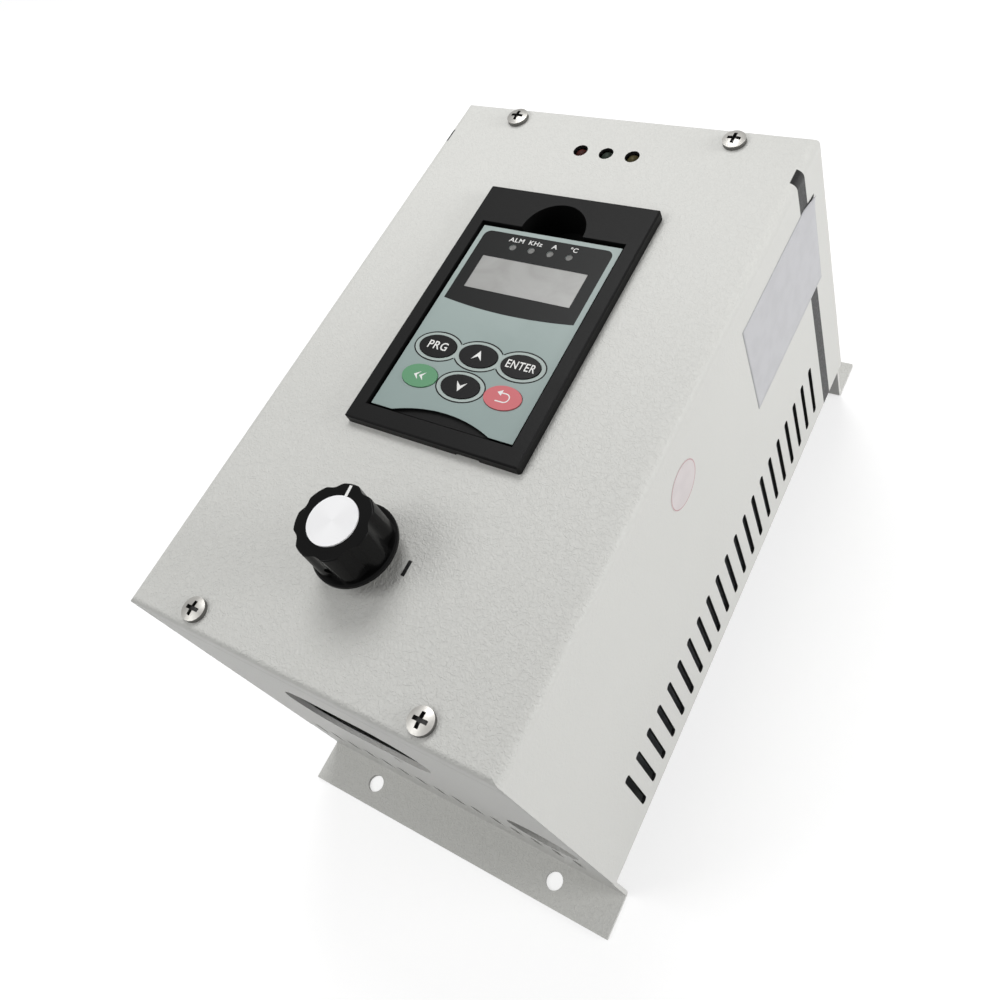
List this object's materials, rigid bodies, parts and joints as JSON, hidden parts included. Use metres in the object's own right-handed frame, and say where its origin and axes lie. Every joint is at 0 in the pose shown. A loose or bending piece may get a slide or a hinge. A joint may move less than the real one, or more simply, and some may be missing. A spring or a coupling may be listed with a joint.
{
  "type": "induction heating machine",
  "caption": "Wall-mounted induction heating machine: sheet-metal case with mounting feet, a lift-out keypad in a tray, a lobed power knob, status lights and side vents.",
  "frame": {"origin": "middle of the feet's underside, on the mounting surface", "axes": "+Z out of the face, +Y up the panel, +X towards the side with the stickers"},
  "size_m": [0.136, 0.2496, 0.1646],
  "materials": {
    "light_paint": "fine wrinkle powder coat, light grey",
    "zinc_sheet": "zinc-plated sheet",
    "zinc_hardware": "bright zinc-plated fasteners",
    "shaft_steel": "turned steel",
    "dark_steel": "black oxide",
    "black_moulding": "fine textured black moulding",
    "film_grey": "satin printed film, grey-green",
    "window_grey": "tinted clear window",
    "key_black": "satin black",
    "key_green": "satin green",
    "key_red": "satin red",
    "knob_black": "glossy black moulding",
    "spun_aluminium": "spun disc",
    "white_line": "painted line",
    "lamp_red": "tinted diffused lens, unlit",
    "indicator_grey": "frosted lens of a small light, unlit",
    "lamp_green": "tinted diffused lens, unlit",
    "lamp_yellow": "tinted diffused lens, unlit",
    "circuit_board": "green solder mask",
    "component_black": "moulded component body",
    "heatsink_aluminium": "extruded, plain",
    "brass": "plain brass",
    "copper": "bare and enamelled copper",
    "film_capacitor": "moulded box",
    "can_sleeve": "shrink sleeve",
    "ferrite": "sintered ferrite",
    "ring_blue": "moulded ring",
    "terminal_grey": "moulded block",
    "ribbon_grey": "flat cable"
  },
  "bodies": {
    "housing": {"cover": "light_paint", "end_frame_bottom": "light_paint", "end_frame_top": "light_paint", "back_plate": "zinc_sheet", "cover_screws": "zinc_hardware", "cover_nuts": "zinc_hardware", "keypad_tray": "black_moulding", "keypad_socket": "black_moulding", "ribbon_cable": "ribbon_grey", "ribbon_header": "black_moulding", "pot_body": "shaft_steel", "pot_washer": "zinc_hardware", "pot_nut": "zinc_hardware", "lamp_red": "lamp_red", "lamp_green": "lamp_green", "lamp_yellow": "lamp_yellow", "lamp_board": "circuit_board", "lamp_spacers": "zinc_hardware", "heatsink": "heatsink_aluminium", "heatsink_screws": "zinc_hardware", "power_transistors": "component_black", "bridge_rectifier": "component_black", "device_screws": "zinc_hardware", "power_board": "circuit_board", "board_pillars": "brass", "film_capacitors": "film_capacitor", "smoothing_capacitors": "can_sleeve", "choke_core": "ferrite", "choke_winding": "copper", "current_transformer": "ring_blue", "output_bars": "copper", "output_bolts": "zinc_hardware", "terminal_block": "terminal_grey", "terminal_screws": "zinc_hardware", "earth_stud": "brass", "fan_frame": "black_moulding", "fan_screws": "zinc_hardware"},
    "keypad": {"keypad_case": "black_moulding", "keypad_back": "black_moulding", "keypad_film": "film_grey", "display_window": "window_grey", "display_module": "component_black", "indicator_lamps": "indicator_grey", "keypad_board": "circuit_board", "key_switches": "component_black"},
    "knob": {"knob_body": "knob_black", "knob_cap": "spun_aluminium", "knob_pointer": "white_line", "knob_screw": "dark_steel", "pot_shaft": "shaft_steel"},
    "fan": {"fan_rotor": "black_moulding"},
    "key_program": {"key_program": "key_black"},
    "key_up": {"key_up": "key_black"},
    "key_enter": {"key_enter": "key_black"},
    "key_left": {"key_left": "key_green"},
    "key_down": {"key_down": "key_black"},
    "key_return": {"key_return": "key_red"}
  },
  "joints": [
    {"name": "keypad_release", "type": "slide", "parent": "housing", "child": "keypad", "axis": [0, 0, 1], "range_m": [0, 0.02]},
    {"name": "knob_turn", "type": "hinge", "parent": "housing", "child": "knob", "pos_m": [0, -0.0694, 0.1436], "axis": [0, 0, 1], "range_deg": [-155.5, 144.5]},
    {"name": "fan_spin", "type": "hinge", "parent": "housing", "child": "fan", "pos_m": [0, 0.0953, 0.066], "axis": [0, 1, 0], "continuous": true},
    {"name": "key_program_press", "type": "slide", "parent": "keypad", "child": "key_program", "axis": [0, 0, -1], "range_m": [0, 0.0004], "stiffness_N_per_m": 400},
    {"name": "key_up_press", "type": "slide", "parent": "keypad", "child": "key_up", "axis": [0, 0, -1], "range_m": [0, 0.0004], "stiffness_N_per_m": 400},
    {"name": "key_enter_press", "type": "slide", "parent": "keypad", "child": "key_enter", "axis": [0, 0, -1], "range_m": [0, 0.0004], "stiffness_N_per_m": 400},
    {"name": "key_left_press", "type": "slide", "parent": "keypad", "child": "key_left", "axis": [0, 0, -1], "range_m": [0, 0.0004], "stiffness_N_per_m": 400},
    {"name": "key_down_press", "type": "slide", "parent": "keypad", "child": "key_down", "axis": [0, 0, -1], "range_m": [0, 0.0004], "stiffness_N_per_m": 400},
    {"name": "key_return_press", "type": "slide", "parent": "keypad", "child": "key_return", "axis": [0, 0, -1], "range_m": [0, 0.0004], "stiffness_N_per_m": 400}
  ]
}
